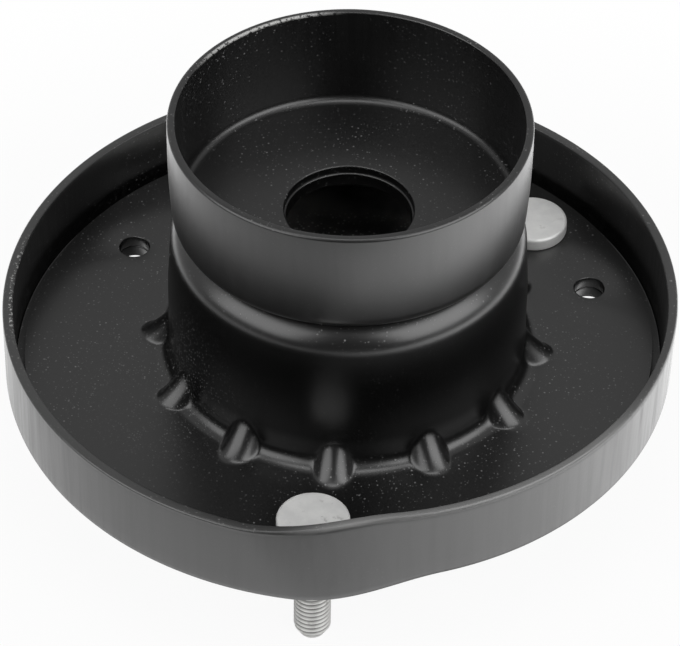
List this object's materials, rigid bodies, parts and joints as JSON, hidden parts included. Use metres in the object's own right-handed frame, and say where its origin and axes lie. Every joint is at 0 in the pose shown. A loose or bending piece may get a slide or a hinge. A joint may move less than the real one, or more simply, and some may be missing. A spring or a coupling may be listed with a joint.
{
  "type": "strut mount",
  "caption": "Strut mount: pressed spring pan with a stepped spiral rim, drawn neck with stiffening darts, bump stop cup, press-in studs and a bonded rubber rod bush.",
  "frame": {"origin": "on the damper rod's axis, in the plane of the mounting face, which is the underside of the pan", "axes": "+Z along the rod's axis, from the mounting face towards the bump stop cup; -Y towards the front stud, which stands beside the rim's step"},
  "size_m": [0.1844, 0.1884, 0.1182],
  "materials": {
    "black_coat": "black dip coat, half gloss, with fine light dust",
    "zinc_steel": "bright zinc plating",
    "bare_steel": "plain steel",
    "rubber": "matt"
  },
  "bodies": {
    "root": {"spring_pan": "black_coat", "neck_hat": "black_coat", "bump_stop_cup": "black_coat", "stud_front": "zinc_steel", "stud_right": "zinc_steel", "stud_left": "zinc_steel", "bush_ring": "bare_steel", "bush_rubber": "rubber", "rod_sleeve": "bare_steel"}
  },
  "joints": []
}
